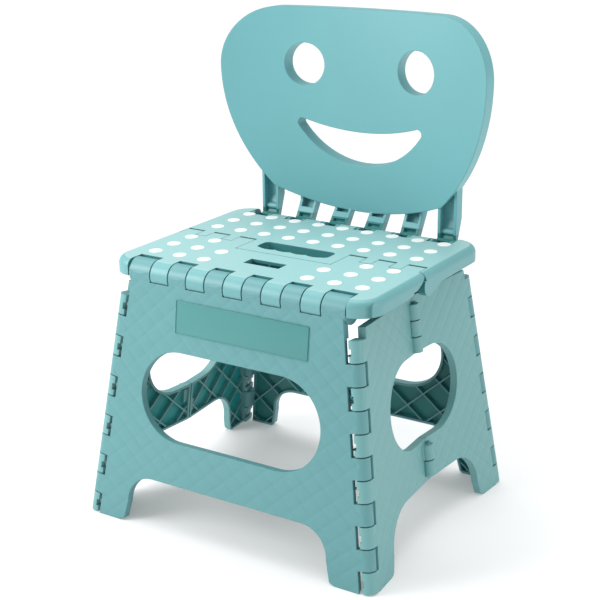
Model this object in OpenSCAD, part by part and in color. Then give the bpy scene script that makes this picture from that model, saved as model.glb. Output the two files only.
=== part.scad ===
// Folding stool with a backrest, in injection moulded plastic.
// Frame: X to the viewer's right, Y to the back, Z up, floor at z = 0.
// The four corner hinges and the two side hinges all point at one apex
// above the stool, so the legs and sides fold flat about that point.

/* [Seat] */
// Height of the seat's top face
seat_top = 274.5; // [240:0.5:320]
// Half width of the seat
seat_half_w = 150; // [140:1:170]
// Distance from the centre hinge to each end hinge
hinge_span = 103; // [95:1:115]
// How far the seat's rear corners reach behind the rear end hinge
rear_overhang = 19; // [15:0.5:19]
// Depth of the seat's side skirt
skirt_h = 16.5; // [16.2:0.1:18]
// Thickness of the seat's top
seat_skin = 3.4; // [3:0.1:5]
// Thickness of the seat's skirt
seat_wall = 4; // [3:0.1:5]
// Corner radius of the seat in plan
seat_corner_r = 26; // [20:1:30]
// Rounding of the seat's upper edge
seat_edge_r = 8; // [6:0.5:8]
// Distance between the ribs under the seat
seat_rib_pitch = 30; // [24:1:40]

/* [End hinges] */
// Radius of the seat's end hinge barrels
end_r = 13.5; // [12:0.5:14]
// Width of one knuckle of the end hinges
knuckle_w = 21.8; // [20:0.1:22]
// Width of the outermost leg knuckle
end_knuckle_w = 26.5; // [24:0.5:28]
// Radius of the rods in the seat hinges
seat_rod_r = 2.5; // [1.5:0.1:3]

/* [Centre hinge] */
// Radius of the centre hinge barrels
centre_r = 7.5; // [6.5:0.1:8]
// Width of one tab of the centre hinge
tab_w = 19.5; // [18:0.1:21]
// Distance between neighbouring tabs
tab_pitch = 33; // [31:0.5:34]
// Distance of the first tab from the middle
tab_first = 66; // [65:0.5:68]
// How far the tabs reach over the hinge line
tab_reach = 7; // [5:0.5:8]
// Distance from the hinge line to the front panel's seam
seam_y = 7.4; // [6:0.1:9]
// Radius of the round lug under each end of the rear panel's front edge
lug_r = 11; // [9:0.5:11.5]
// Distance from the hinge line to where the lug's blend meets the skirt
lug_blend_y = 26; // [24:1:30]
// Radius of the front skirt's lower corner beside the lugs
skirt_curve_r = 70; // [60:1:80]
// Distance from the hinge line to where that corner starts
skirt_curve_y = 50; // [46:1:60]
// Radius of the bores that the centre rods have play in
centre_play_r = 5; // [3:0.1:5.2]
// Radius of the centre rods
centre_rod_r = 2; // [1.5:0.1:2.5]

/* [Handle] */
// Half width of the rear panel's tongue round the handle
tongue_half_w = 56; // [50:0.5:60]
// How far the tongue reaches in front of the hinge line
tongue_reach = 28; // [24:0.5:32]
// Half width of the handle slot
grip_half_w = 42; // [36:1:46]
// Depth of the handle slot from front to back
grip_depth = 24; // [20:0.5:26]
// How far the handle slot reaches behind the hinge line
grip_back = 8; // [6:0.5:12]
// Radius of the handle slot's corners
grip_corner_r = 6; // [3:0.5:8]
// Depth of the finger hollows in the handle's bar
grip_dip = 2.5; // [1:0.5:4]
// Number of finger hollows in the handle's bar
grip_fingers = 4; // [3:1:5]
// Wall round the handle slot
grip_wall = 3; // [2:0.5:4]
// Half width of the small slot in the front panel
small_slot_half_w = 20.5; // [15:0.5:26]
// Depth of the small slot from front to back
small_slot_depth = 15.5; // [10:0.5:20]
// Distance of the small slot from the hinge line
small_slot_y = 59; // [50:0.5:70]

/* [Grip dots] */
// Distance between neighbouring dots
dot_pitch = 30; // [28:0.5:32]
// Radius of a dot
dot_r = 6.8; // [4:0.1:8]
// Height of a dot above the seat
dot_h = 0.4; // [0.2:0.1:1]
// Distance of the nearest dot row from the hinge line, behind it
dot_rear_y = 30; // [28:0.5:32]
// Distance of the nearest dot row from the hinge line, in front of it
dot_front_y = 17.5; // [16:0.5:19]

/* [Legs] */
// Half distance between the corner axes at the floor, left to right
foot_x = 163; // [150:1:175]
// How far the corner axes at the floor stand out beyond the end hinges, front and back
foot_out = 34; // [28:1:40]
// Height of the apex that the corner axes point at
apex_z = 1200; // [1100:10:1400]
// Thickness of the leg and side panels
panel_t = 8; // [7:0.1:9]
// Thickness of a panel's face
panel_skin = 2.6; // [2:0.1:4]
// Width of the rim round a panel's edges and holes
rim_w = 2.8; // [2:0.1:4]
// Thickness of the diagonal ribs
rib_w = 1.8; // [1.2:0.1:3]
// Distance between the diagonal ribs
rib_pitch = 27; // [22:1:40]
// Steepness of the diagonal ribs
rib_angle = 42; // [35:1:50]
// How much lower the ribs are than the rim
rib_step = 1; // [0.2:0.1:2]
// Radius of the round ends of the leg's hand hole
oval_r = 47; // [40:1:50]
// Distance of the hand hole's round ends from the middle
oval_x = 58; // [50:1:64]
// Height of the hand hole's middle
oval_z = 143; // [138:1:148]
// Half width of the leg's foot arch at the floor
arch_half_w = 124.5; // [116:0.5:128]
// Height of the leg's foot arch
arch_top = 52; // [40:1:56]
// Radius of the foot arch's corners
arch_r = 30; // [20:1:34]
// Rounding of the feet's lower corners
toe_r = 6; // [3.5:0.5:8]
// Width of the bare label on the front leg
label_w = 152; // [100:1:180]
// Height of the bare label
label_h = 33; // [20:1:34]
// Distance of the label's middle from the leg's middle
label_x = 11; // [-10:1:14]
// Height of the label's middle
label_z = 225.5; // [222:0.5:228]
// Thickness of the label
label_t = 0.3; // [0.2:0.1:0.6]

/* [Side panels] */
// Height of the side panels' upper edge
side_top = 246; // [240:0.5:246]
// Radius of the side hole's round ends
side_hole_r = 45; // [38:1:46]
// Distance of the side hole's round ends from the middle
side_hole_y = 26; // [18:1:30]
// Height of the side hole's middle
side_hole_z = 145; // [142:1:146]
// Half width of the side arch at the floor
side_arch_half_w = 99; // [92:1:108]
// Height of the side arch
side_arch_top = 57; // [50:1:60]
// Radius of the side arch's corners
side_arch_r = 40; // [30:1:44]

/* [Corner and side hinges] */
// Radius of the corner hinge barrels
corner_r = 8; // [7:0.1:8.5]
// Height of the corner hinges' upper end
corner_top = 237; // [225:1:237]
// Number of knuckles of a corner hinge
corner_count = 11; // [7:2:13]
// Radius of the rods in the corner and side hinges
rod_r = 2; // [1.5:0.1:2.5]
// Radius of the side hinge barrels
side_r = 6.5; // [6:0.1:7]
// Lower end of the lower side hinge
low_hinge_z = 62.5; // [61:0.5:64]
// Lower end of the upper side hinge
high_hinge_z = 190; // [189:0.5:194]
// Distance from a corner rod's middle to the open edge of the clips round it
clip_wall = 3.4; // [3:0.1:5]
// Length of one side hinge knuckle
side_knuckle_l = 16.5; // [14:0.5:17.5]
// Radius of the bores that the left side rods have play in
side_play_r = 2.6; // [2.3:0.1:4.2]

/* [Backrest] */
// Height of the backrest's top
back_top = 500; // [460:1:560]
// Distance of the backrest's face behind the centre hinge
back_y = 129; // [127:0.5:134]
// Radius of the backrest's curve in plan
back_bend_r = 400; // [360:5:500]
// Depth of the backrest's rim
back_rim_d = 16; // [12:0.5:18]
// Thickness of the backrest's face
back_skin = 3.2; // [2.5:0.1:5]
// Width of the backrest's rim
back_rim_w = 3; // [2:0.1:5]
// Half width of the backrest
back_half_w = 158; // [150:1:166]
// Height of the backrest's widest part
back_waist = 438; // [430:1:445]
// Radius of the backrest's upper corners
back_corner_r = 62; // [50:1:70]
// Radius of the backrest's tapering sides
back_side_r = 188; // [170:1:210]
// Height of the backrest's lowest point
back_low = 284; // [282:1:290]
// Radius of the backrest's lower edge
back_low_r = 262; // [240:1:300]
// Distance of the two round holes below the backrest's top
eye_drop = 60; // [50:1:70]
// Distance of the round holes from the middle
eye_x = 67; // [60:1:72]
// Radius of the round holes
eye_r = 22.75; // [18:0.25:26]
// Distance of the curved hole's lowest point below the backrest's top
smile_drop = 165; // [155:1:170]
// Radius of the curved hole's lower edge
smile_low_r = 90; // [86:1:94]
// Height of the curved hole in the middle
smile_h = 36; // [31:1:39]
// Radius of the curved hole's upper edge
smile_high_r = 228; // [215:1:240]
// Rounding of the curved hole's ends
smile_tip_r = 5; // [3:0.5:6]
// Outer edge of the outermost struts
strut_half_w = 120; // [117:0.5:121]
// Thickness of a strut's ribs
strut_rib = 3.2; // [2.5:0.1:5]
// Thickness of a strut's back
strut_back = 3; // [2.5:0.1:5]
// Depth of a strut from front to back
strut_d = 13; // [10:0.5:14]
// How far the struts reach up behind the backrest's lower edge
strut_lap = 9; // [6:0.5:14]
// Radius of the roll that closes a strut's hollow at the foot
roll_r = 4.5; // [3:0.1:6]
// Distance between the ribs behind the backrest
back_rib_pitch = 34; // [28:1:60]

/* [Clearances] */
// Gap between neighbouring knuckles
knuckle_gap = 1.2; // [0.4:0.1:1.6]
// Gap between a barrel and the pocket that it turns in
pocket_gap = 0.5; // [0.4:0.1:0.8]
// Gap between an end hinge's barrel and its pocket in the other part
end_gap = 1; // [0.4:0.1:1.4]
// Gap between a rod and its bore, on the radius
rod_fit = 0.05; // [0.03:0.01:0.09]
// Gap between the two seat panels
seam_gap = 0.9; // [0.4:0.1:1]
// Gap behind the end of a tab
tab_gap = 3.8; // [1:0.1:4]

/* [Hidden] */
$fn = 64;
far = 600;
teal = "#8cc3c3";
deep_teal = "#7fb9b8";
steel = "#b9bcbf";

// Height and lean of the hinge lines
hinge_z = seat_top - end_r;
seat_low = seat_top - skirt_h;
foot_y = hinge_span + foot_out;
lean_y = atan(foot_y / apex_z);
lean_x = atan(foot_x / apex_z);
slope_y = norm([foot_y, apex_z]);
slope_x = norm([foot_x, apex_z]);
skew_x = atan(foot_x / slope_y);
skew_y = atan(foot_y / slope_x);
axis_len = norm([foot_x, foot_y, apex_z]);
// Length along a corner axis for one unit of height
axis_rise = axis_len / apex_z;
side_rise = slope_x / apex_z;
corner_seg = corner_top * axis_rise / corner_count;
// The arches' edges at the height of the toes lie inside their half widths by this much
toe_in = 2;
// Panel edges stop short of the corner axes by this much
edge_back = corner_r - 1.4;
// The side plates bow inwards until their outer faces meet the side axis
bow = asin(panel_t / ((foot_y * (1 - side_top / apex_z)) * cos(skew_y)));
end_x = 4.5 * knuckle_w + end_knuckle_w;
seat_back_y = hinge_span + rear_overhang;
seat_front_y = hinge_span + end_r;
seat_rib_low = hinge_z + 1;
// Walls stand this far beyond the centre hinge barrels, which have play
centre_play = centre_play_r - centre_rod_r + 0.5;
// The slots for the leg knuckles reach this far behind the end hinges
slot_back = 0.7 * end_r;
// The front panel's room round the lugs
lug_play = 2.2;
// The folded seat turns up to this distance behind the rear end hinge
strut_clear = end_r + 0.7;
strut_knee = hinge_z + 28;
strut_split = hinge_z + 16;
// Floor of a strut's hollow, and the middle of the roll over it
strut_floor = hinge_z + 11;
roll_y = hinge_span + strut_clear + 7;
roll_z = hinge_z + 17;
// Top of the backrest's side arcs, their centre and where they meet the outer struts
waist_z = min(back_waist, back_top - back_corner_r);
eye_z = back_top - eye_drop;
smile_low = back_top - smile_drop;
smile_high = smile_low + smile_h;
side_arc_x = back_half_w - back_side_r;
side_arc_z = waist_z - sqrt(pow(back_side_r, 2) - pow(strut_half_w - side_arc_x, 2));
strut_side_top = max(side_arc_z, low_edge(strut_half_w)) + 2;
// Centres of the arcs of the backrest's curved hole
smile_low_c = smile_low + smile_low_r;
smile_high_c = smile_high + smile_high_r;
tip_a = smile_high_r + smile_tip_r;
tip_b = smile_low_r - smile_tip_r;
tip_z = (pow(smile_high_c, 2) - pow(smile_low_c, 2) - pow(tip_a, 2) + pow(tip_b, 2))
  / (2 * (smile_high_c - smile_low_c));
// The tips' circles reach this far past the arcs, so that they cross them
tip_over = 0.12;
tip_x = sqrt(pow(tip_b, 2) - pow(tip_z - smile_low_c, 2));

// Left and right edges of the leg knuckles and of the seat knuckles
leg_knuckles = [for (s = [-1, 1], a = [0.5, 2.5, 4.5])
  let (b = a == 4.5 ? end_x : (a + 1) * knuckle_w)
  s > 0 ? [a * knuckle_w, b] : [-b, -a * knuckle_w]];
seat_knuckles = [for (k = [-2:2]) [(2 * k - 0.5) * knuckle_w, (2 * k + 0.5) * knuckle_w]];
// Edges of the front panel's tabs and of the rear panel's fingers
tabs = [for (s = [-1, 1], k = [0:2])
  [s * (tab_first + k * tab_pitch) - tab_w / 2, s * (tab_first + k * tab_pitch) + tab_w / 2]];
finger_w = tab_pitch - tab_w;
fingers = [for (s = [-1, 1], k = [0:1])
  let (c = s * (tab_first + (k + 0.5) * tab_pitch)) [c - finger_w / 2, c + finger_w / 2]];
lug_x = tab_first + 2 * tab_pitch + tab_w / 2;

// Box from two corners
module block(a, b) {
  translate(a) cube(b - a);
}

// Cylinder along X between two places
module x_rod(x0, x1, y, z, r) {
  translate([x0, y, z]) rotate([0, 90, 0]) cylinder(r = r, h = x1 - x0);
}

// Frame of the front leg panel: X along it, Z up its slope, -Y outwards
module leg_frame() {
  translate([0, -foot_y, 0]) rotate([-lean_y, 0, 0]) children();
}

// Frame of the front right corner axis, turned as the leg panel lies
module leg_corner() {
  leg_frame() translate([foot_x, 0, 0]) rotate([0, -skew_x, 0]) children();
}

// Frame of the right side: X outwards, Y to the back, Z up its slope
module side_frame() {
  translate([foot_x, 0, 0]) rotate([0, -lean_x, 0]) children();
}

// Frame of the front right corner axis, turned as the side plate lies
module side_corner() {
  side_frame() translate([0, -foot_y, 0]) rotate([-skew_y, 0, 0]) rotate([0, 0, bow]) children();
}

// Plane of the front half of the right side plate
module plate_frame() {
  side_corner() rotate([skew_y, 0, 0]) translate([0, foot_y, 0]) children();
}

// Everything that would reach through the floor
module below_floor() {
  block([-far, -far, -60], [far, far, 0]);
}

// Crossing diagonal ribs over a width and a height
module rib_grid(w, h, pitch = rib_pitch) {
  n = ceil((w / 2 * sin(rib_angle) + h / 2 * cos(rib_angle)) / pitch);
  for (s = [-1, 1], k = [-n:n])
    rotate([0, 0, s * rib_angle]) translate([-(w + h) / 2, (k + 0.5) * pitch - rib_w / 2])
      square([w + h, rib_w]);
}

// Face with a rim and ribs behind it: outline first, open cells second
module moulding(t, skin) {
  difference() {
    linear_extrude(t) children(0);
    translate([0, 0, -1]) linear_extrude(t - skin + 1) children(1);
    if ($children > 2) translate([0, 0, -1]) linear_extrude(rib_step + 1) children(2);
  }
}

// Leg panel

// Half width of the leg panel at a height along its slope
function leg_edge(s, inset) = foot_x * (1 - s / slope_y) - (edge_back + inset) / cos(skew_x);

// Leg panel seen square on, with its edges drawn in by inset
module leg_outline(inset) {
  top = hinge_z / cos(lean_y) - inset;
  low = inset > 0 ? inset : -4;
  oval_s = oval_z / cos(lean_y);
  arch_c = arch_top / cos(lean_y) - arch_r;
  difference() {
    polygon([
      [leg_edge(low, inset), low], [leg_edge(top, inset), top],
      [-leg_edge(top, inset), top], [-leg_edge(low, inset), low]
    ]);
    for (s = [-1, 1]) translate([s * oval_x, oval_s]) circle(oval_r + inset);
    translate([-oval_x, oval_s - oval_r - inset]) square([2 * oval_x, 2 * (oval_r + inset)]);
    foot_arch(arch_half_w, arch_c, arch_r, inset);
  }
}

// Arch between two feet, grown by inset, with the feet's corners rounded
module foot_arch(half_w, centre_z, r, inset) {
  knee = half_w - 5.5;
  for (m = [0, 1]) mirror([m, 0]) difference() {
    translate([half_w - toe_in - 1, -6]) square([toe_r + 1, toe_r + 6]);
    translate([half_w - toe_in + toe_r, toe_r]) circle(toe_r - inset);
  }
  for (s = [-1, 1]) translate([s * (knee - r), centre_z]) circle(r + inset);
  translate([-(knee - r), 0]) square([2 * (knee - r), centre_z + r + inset]);
  polygon([
    [knee + inset, centre_z], [half_w + 1 + inset, -6],
    [-half_w - 1 - inset, -6], [-knee - inset, centre_z]
  ]);
}

// Panel of one leg with its corner knuckles, as at the front
module leg_plate() {
  difference() {
    union() {
      leg_frame() rotate([90, 0, 0]) moulding(panel_t, panel_skin) {
        leg_outline(0);
        difference() {
          leg_outline(rim_w);
          translate([0, oval_z]) rib_grid(2 * foot_x, 2 * oval_z);
        }
        leg_outline(rim_w);
      }
      for (m = [0, 1]) mirror([m, 0, 0]) leg_corner() for (k = [1:2:corner_count - 1])
        corner_knuckle(k, -1);
    }
    for (m = [0, 1]) mirror([m, 0, 0]) leg_corner() {
      for (k = [0:2:corner_count - 1])
        translate([0, 0, k * corner_seg - knuckle_gap / 2])
          cylinder(r = corner_r + pocket_gap, h = corner_seg + knuckle_gap);
      corner_bore();
    }
    for (k = seat_knuckles)
      x_rod(k[0] - knuckle_gap / 2, k[1] + knuckle_gap / 2, -hinge_span, hinge_z,
        end_r + end_gap);
    below_floor();
  }
}

// One corner knuckle: barrel and the web to its panel, which lies at -X or +Y
module corner_knuckle(k, dir) {
  z0 = k * corner_seg + knuckle_gap / 2;
  len = corner_seg - knuckle_gap;
  translate([0, 0, z0]) {
    cylinder(r = corner_r, h = len);
    if (dir < 0) translate([-edge_back - 1, -panel_t, 0]) cube([edge_back + 1, panel_t, len]);
    else cube([panel_t, edge_back + 1, len]);
  }
}

// Opening that makes a side knuckle a clip, with a stepped edge. The middle step
// shows the rod
module clip_opening(k) {
  z0 = k * corner_seg;
  steps = [[0, 0.3, clip_wall], [0.3, 0.62, rod_r / 2], [0.62, 1, clip_wall]];
  for (s = steps) translate([-corner_r - 1, -corner_r - 1, z0 + s[0] * corner_seg])
    cube([corner_r + 1 - s[2], 2 * corner_r + 2, (s[1] - s[0]) * corner_seg]);
}

// Bore of a corner hinge
module corner_bore() {
  translate([0, 0, corner_seg * 0.2]) cylinder(r = rod_r + rod_fit, h = corner_seg * (corner_count - 0.4));
}

module front_leg_panel() {
  color(teal) difference() {
    union() {
      leg_plate();
      for (k = leg_knuckles)
        x_rod(k[0] + knuckle_gap / 2, k[1] - knuckle_gap / 2, -hinge_span, hinge_z, end_r);
    }
    seat_end_bore(-hinge_span);
  }
}

module rear_leg_panel() {
  color(teal) difference() {
    union() {
      mirror([0, 1, 0]) leg_plate();
      for (k = leg_knuckles) strut_foot(k[0] + knuckle_gap / 2, k[1] - knuckle_gap / 2);
      intersection() {
        struts();
        block([-far, 0, 0], [far, far, strut_split]);
      }
    }
    seat_end_bore(hinge_span);
  }
}

// Bore of an end hinge of the seat, closed at both ends
module seat_end_bore(y) {
  x_rod(-end_x + 3, end_x - 3, y, hinge_z, seat_rod_r + rod_fit);
}

// Knuckle at the foot of a strut: two ribs, a core and a back
module strut_foot(x0, x1) {
  for (x = [x0, x1 - strut_rib]) x_rod(x, x + strut_rib, hinge_span, hinge_z, end_r);
  x_rod(x0, x1, hinge_span, hinge_z, end_r - 4.5);
  difference() {
    x_rod(x0, x1, hinge_span, hinge_z, end_r);
    block([x0 - 1, hinge_span - end_r - 1, hinge_z - end_r - 1],
      [x1 + 1, hinge_span + end_r - 5, hinge_z + end_r + 1]);
  }
}

// Backrest struts

// Distance of the backrest's face from the centre hinge, at a distance x from the middle
function face_y(x) = back_y - back_bend_r + sqrt(pow(back_bend_r, 2) - pow(x, 2));

// Height of the backrest's lower edge at a distance x from the middle
function low_edge(x) = back_low + back_low_r - sqrt(pow(back_low_r, 2) - pow(x, 2));

// Side view of a strut that ends at height top, from its front edge to depth d
module strut_profile(front, top, d) {
  polygon([
    [hinge_span + 9, hinge_z + 8], [hinge_span + strut_clear, hinge_z + 11],
    [front, strut_knee], [front, top], [front + d, top], [front + d, strut_knee + 4],
    [seat_front_y, hinge_z - 6], [hinge_span + 9, hinge_z - 6]
  ]);
}

// Struts from the leg knuckles up to the backrest, each a channel open to the front
module struts() {
  for (k = leg_knuckles) {
    x0 = max(k[0] + knuckle_gap / 2, -strut_half_w);
    x1 = min(k[1] - knuckle_gap / 2, strut_half_w);
    mid = (x0 + x1) / 2;
    front = face_y(mid) + back_skin;
    top = abs(mid) > strut_half_w - knuckle_w ? strut_side_top : low_edge(mid) + strut_lap;
    translate([x0, 0, 0]) rotate([90, 0, 90]) difference() {
      linear_extrude(x1 - x0) strut_profile(front, top, strut_d);
      translate([0, 0, strut_rib]) linear_extrude(x1 - x0 - 2 * strut_rib) difference() {
        translate([0, strut_floor]) square([far, far]);
        translate([strut_back, -strut_back]) strut_back_line(front, top);
        translate([roll_y, roll_z]) circle(roll_r);
        translate([roll_y - roll_r / 2, 0]) square([20, roll_z]);
      }
    }
  }
}

// Rear part of a strut's side view, behind its hollow
module strut_back_line(front, top) {
  polygon([
    [front + strut_d - 2 * strut_back, top + 9], [front + strut_d - 2 * strut_back, strut_knee + 4],
    [seat_front_y - 2 * strut_back, hinge_z - 2], [far, hinge_z - 2], [far, top + 9]
  ]);
}

// Backrest

// Front view of the backrest, drawn in by inset
module back_outline(inset) {
  corner_z = back_top - back_corner_r;
  difference() {
    union() {
      for (s = [-1, 1]) translate([s * (back_half_w - back_corner_r), corner_z])
        circle(back_corner_r - inset);
      translate([-back_half_w + back_corner_r, waist_z - 1])
        square([2 * (back_half_w - back_corner_r), back_top - waist_z + 1 - inset]);
      if (corner_z > waist_z) translate([-back_half_w + inset, waist_z])
        square([2 * (back_half_w - inset), corner_z - waist_z]);
      intersection() {
        translate([side_arc_x, waist_z]) circle(back_side_r - inset, $fn = 128);
        translate([-side_arc_x, waist_z]) circle(back_side_r - inset, $fn = 128);
        translate([0, back_low + back_low_r]) circle(back_low_r - inset, $fn = 128);
        translate([-far, 0]) square([2 * far, waist_z]);
      }
    }
    back_holes(inset);
  }
}

// Holes of the backrest, grown by inset
module back_holes(inset) {
  for (s = [-1, 1]) {
    translate([s * eye_x, eye_z]) circle(eye_r + inset);
    translate([s * tip_x, tip_z]) circle(smile_tip_r + tip_over + inset);
  }
  difference() {
    translate([0, smile_low_c]) circle(smile_low_r + inset, $fn = 128);
    translate([0, smile_high_c]) circle(smile_high_r - inset, $fn = 128);
    for (s = [-1, 1]) polygon([
      [s * tip_x, tip_z], far_point(s, tip_x, tip_z, 0, smile_low_c, -1),
      [s * far, tip_z], far_point(s, tip_x, tip_z, 0, smile_high_c, 1)
    ]);
  }
}

// Point far along the line from a centre through a point
function far_point(s, x, z, cx, cz, dir) =
  let (v = [x - cx, z - cz], u = v / norm(v))
  [s * (x - dir * u[0] * 60), z - dir * u[1] * 60];

// Wall bent round a standing axis in front of the stool, between two depths
module bent_wall(d0, d1) {
  translate([0, back_y - back_bend_r, 0]) difference() {
    cylinder(r = back_bend_r + d1, h = back_top + 1, $fn = 180);
    translate([0, 0, -1]) cylinder(r = back_bend_r + d0, h = back_top + 3, $fn = 180);
  }
}

// Front view pushed through the backrest, from behind it to in front of its ends
module through_back() {
  behind = back_y + 2 * back_rim_d;
  translate([0, behind, 0]) rotate([90, 0, 0]) linear_extrude(behind - hinge_span / 2) children();
}

// Upright and level ribs behind the backrest's face
module back_ribs() {
  n = floor((back_half_w - 6) / back_rib_pitch);
  for (k = [-n:n]) {
    x = k * back_rib_pitch;
    block([x - rib_w / 2, face_y(x) + back_skin / 2, back_low],
      [x + rib_w / 2, face_y(x) + back_rim_d - rib_step, back_top]);
  }
  for (z = [back_top - back_rib_pitch:-back_rib_pitch:back_low + 6]) intersection() {
    bent_wall(back_skin / 2, back_rim_d - rib_step);
    block([-far, 0, z - rib_w / 2], [far, far, z + rib_w / 2]);
  }
}

module backrest() {
  color(teal) {
    difference() {
      intersection() {
        bent_wall(0, back_rim_d);
        through_back() back_outline(0);
      }
      intersection() {
        bent_wall(back_skin, back_rim_d + 20);
        through_back() back_outline(back_rim_w);
      }
    }
    intersection() {
      back_ribs();
      through_back() back_outline(rim_w / 2);
    }
    intersection() {
      struts();
      block([-far, 0, strut_split], [far, far, back_top]);
    }
  }
}

// Side panels

// Front half of a side plate seen square on, drawn in by inset
module side_outline(inset) {
  top = side_top * side_rise;
  low = inset > 0 ? inset : -4;
  hole_s = side_hole_z * side_rise;
  arch_c = side_arch_top * side_rise - side_arch_r;
  front = -foot_y * (1 - low / slope_x) + (edge_back + inset) / cos(skew_y);
  front_top = -foot_y * (1 - top / slope_x) + (edge_back + inset) / cos(skew_y);
  difference() {
    polygon([
      [front, low], [front_top, top - inset],
      [-knuckle_gap / 2 - inset, top - inset], [-knuckle_gap / 2 - inset, low]
    ]);
    for (s = [-1, 1]) translate([s * side_hole_y, hole_s]) circle(side_hole_r + inset);
    translate([-side_hole_y, hole_s - side_hole_r - inset])
      square([2 * side_hole_y, 2 * (side_hole_r + inset)]);
    foot_arch(side_arch_half_w, arch_c, side_arch_r, inset);
  }
}

// Start and end of each knuckle of the side hinges, along the side axis
low_knuckles = [for (k = [0:1])
  [low_hinge_z + k * side_knuckle_l, low_hinge_z + (k + 1) * side_knuckle_l] * side_rise];
high_knuckles = [for (k = [0:2])
  [high_hinge_z + k * side_knuckle_l, high_hinge_z + (k + 1) * side_knuckle_l] * side_rise];
front_side_knuckles = [low_knuckles[1], high_knuckles[0], high_knuckles[2]];
rear_side_knuckles = [low_knuckles[0], high_knuckles[1]];

// Half of the right side, as at the front, with its own and its partner's knuckles
module side_half(own, other, bore_r) {
  difference() {
    union() {
      plate_frame() rotate([90, 0, 90]) moulding(panel_t, panel_skin) {
        side_outline(0);
        difference() {
          side_outline(rim_w);
          translate([-foot_y / 2, oval_z]) rib_grid(foot_y, 2 * oval_z);
        }
        side_outline(rim_w);
      }
      side_corner() for (k = [0:2:corner_count - 1]) corner_knuckle(k, 1);
      side_frame() for (k = own) translate([0, 0, k[0] + knuckle_gap / 2]) {
        cylinder(r = side_r, h = k[1] - k[0] - knuckle_gap);
        translate([-panel_t + 1, -side_r - 3, 0])
          cube([panel_t - 1, side_r + 3, k[1] - k[0] - knuckle_gap]);
      }
    }
    side_corner() {
      for (k = [1:2:corner_count - 1])
        translate([0, 0, k * corner_seg - knuckle_gap / 2])
          cylinder(r = corner_r + pocket_gap, h = corner_seg + knuckle_gap);
      for (k = [0:2:corner_count - 1]) clip_opening(k);
      corner_bore();
    }
    side_frame() {
      for (k = other) translate([0, 0, k[0] - knuckle_gap / 2])
        cylinder(r = side_r + pocket_gap, h = k[1] - k[0] + knuckle_gap);
      for (k = concat(own, other)) translate([0, 0, k[0] - 1])
        cylinder(r = bore_r, h = k[1] - k[0] + 2);
    }
    below_floor();
  }
}

module right_side_front_half() {
  color(deep_teal) side_half(front_side_knuckles, rear_side_knuckles, rod_r + rod_fit);
}

module right_side_rear_half() {
  color(deep_teal) mirror([0, 1, 0])
    side_half(rear_side_knuckles, front_side_knuckles, rod_r + rod_fit);
}

module left_side_front_half() {
  color(deep_teal) mirror([1, 0, 0])
    side_half(front_side_knuckles, rear_side_knuckles, side_play_r);
}

module left_side_rear_half() {
  color(deep_teal) mirror([1, 0, 0]) mirror([0, 1, 0])
    side_half(rear_side_knuckles, front_side_knuckles, rod_r + rod_fit);
}

// Seat

// Slab with round corners in plan and a rounded upper edge
module soft_slab(x, y0, y1, z0, z1, corner, edge) {
  cx = x - corner;
  cy = [y0 + corner, y1 - corner];
  for (s = [-1, 1], y = cy) translate([s * cx, y, 0]) {
    translate([0, 0, z0]) cylinder(r = corner, h = z1 - edge - z0);
    translate([0, 0, z0]) cylinder(r = corner - edge, h = z1 - z0);
    translate([0, 0, z1 - edge]) rotate_extrude() translate([corner - edge, 0]) circle(edge);
  }
  block([-cx, y0, z0], [cx, y1, z1 - edge]);
  block([-x, cy[0], z0], [x, cy[1], z1 - edge]);
  block([-cx, y0 + edge, z0], [cx, y1 - edge, z1]);
  block([-x + edge, cy[0], z0], [x - edge, cy[1], z1]);
  for (y = [y0 + edge, y1 - edge]) x_rod(-cx, cx, y, z1 - edge, edge);
  for (s = [-1, 1]) translate([s * (x - edge), cy[0], z1 - edge]) rotate([-90, 0, 0])
    cylinder(r = edge, h = cy[1] - cy[0]);
}

// Plan of the front seat panel, with the seam drawn back by gap
module front_plan(gap) {
  translate([-far / 2, -far / 2]) square([far, far / 2 - tongue_reach - gap]);
  for (m = [0, 1]) mirror([m, 0]) translate([tongue_half_w + gap, -far / 2])
    square([far / 2, far / 2 - seam_y - gap]);
  for (t = tabs) translate([t[0], -tongue_reach]) square([t[1] - t[0], tongue_reach + tab_reach]);
}

// Plan of the rear seat panel
module rear_plan() {
  difference() {
    translate([-far / 2, -far / 2]) square([far, far]);
    front_plan(0);
    for (t = tabs) translate([t[0] - seam_gap / 2, -far / 2])
      square([t[1] - t[0] + seam_gap, far / 2 + tab_reach + tab_gap]);
  }
}

// Hollow of the seat below its skin, less the ribs
module seat_hollow(y0, y1) {
  difference() {
    block([-seat_half_w + seat_wall, y0, seat_low - 1],
      [seat_half_w - seat_wall, y1, seat_top - seat_skin]);
    for (k = [-5:5]) block([k * seat_rib_pitch - rib_w / 2, y0 - 1, seat_rib_low],
      [k * seat_rib_pitch + rib_w / 2, y1 + 1, seat_top]);
    for (y = [y0 + seat_rib_pitch:seat_rib_pitch:y1 - 5])
      block([-seat_half_w, y - rib_w / 2, seat_rib_low], [seat_half_w, y + rib_w / 2, seat_top]);
  }
}

// Seat outline of both panels together
module whole_seat() {
  soft_slab(seat_half_w, -seat_front_y, seat_back_y, seat_low, seat_top, seat_corner_r,
    seat_edge_r);
}

// Space under the seat near the centre hinge, where the folded panels meet
module under_centre(reach) {
  block([-far, -reach, seat_low - 1], [far, reach, seat_rib_low]);
}

// Slot for the leg knuckles along an end of the seat, the end at -Y
module end_slots(from_y) {
  for (k = leg_knuckles) {
    x0 = k[0] - knuckle_gap / 2;
    x1 = k[1] + knuckle_gap / 2;
    x_rod(x0, x1, -hinge_span, hinge_z, end_r + end_gap);
    block([x0, from_y, seat_low - 2], [x1, -hinge_span + slot_back, seat_top + 1]);
  }
}

// Seat knuckles along an end of the seat, the end at -Y
module end_barrels() {
  for (k = seat_knuckles)
    x_rod(k[0] + knuckle_gap / 2, k[1] - knuckle_gap / 2, -hinge_span, hinge_z, end_r);
}

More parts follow.
